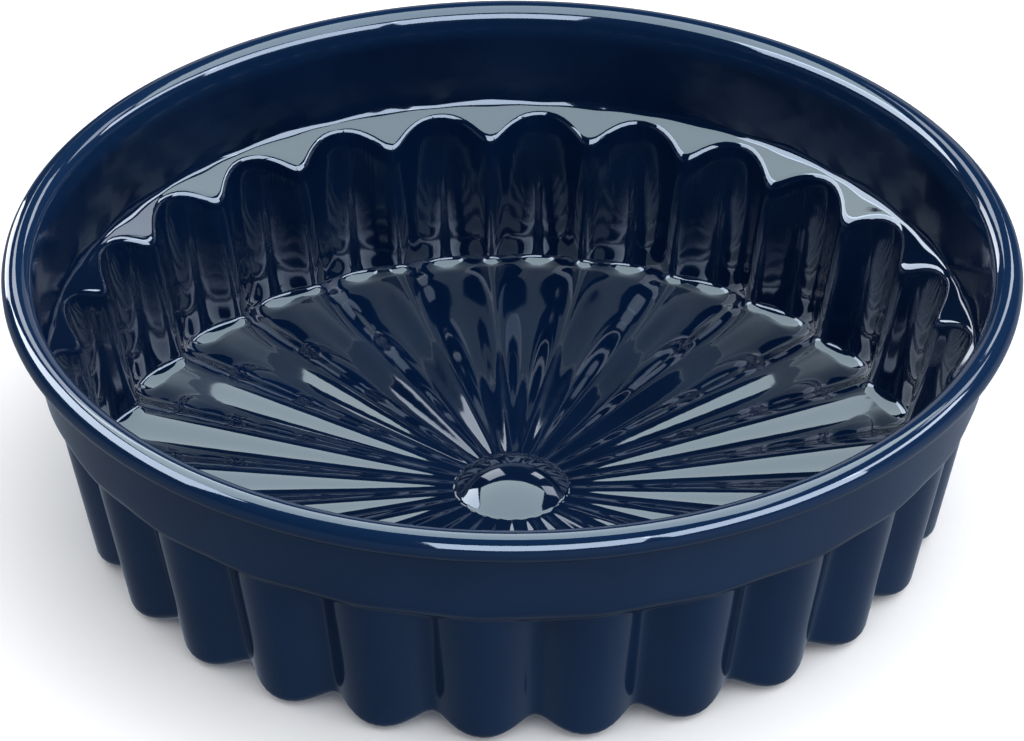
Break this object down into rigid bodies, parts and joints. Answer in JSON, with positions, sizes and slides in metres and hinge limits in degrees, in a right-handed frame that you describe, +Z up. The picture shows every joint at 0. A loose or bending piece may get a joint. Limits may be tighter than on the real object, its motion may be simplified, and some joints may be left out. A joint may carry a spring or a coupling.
{
  "type": "fluted baking tin",
  "caption": "Round deep baking tin with a fluted wall, a channelled floor, a smooth collar and a rolled rim, enamelled steel in glossy navy.",
  "frame": {"origin": "on the tin's axis, in the plane that the underside of the floor rests on", "axes": "+Z up along the tin's axis, out of its open mouth; -Y towards the viewer of the picture; the middle of a flute lies on +X, a groove on +Y"},
  "size_m": [0.28, 0.2796, 0.0802],
  "materials": {
    "sheet_steel": "bare deep-drawing steel, covered by enamel",
    "inside_enamel": "glossy fused glass enamel, deep navy",
    "outside_enamel": "glossy fused glass enamel, deep navy"
  },
  "bodies": {
    "root": {"steel_pressing": "sheet_steel", "inside_enamel": "inside_enamel", "outside_enamel": "outside_enamel"}
  },
  "joints": []
}
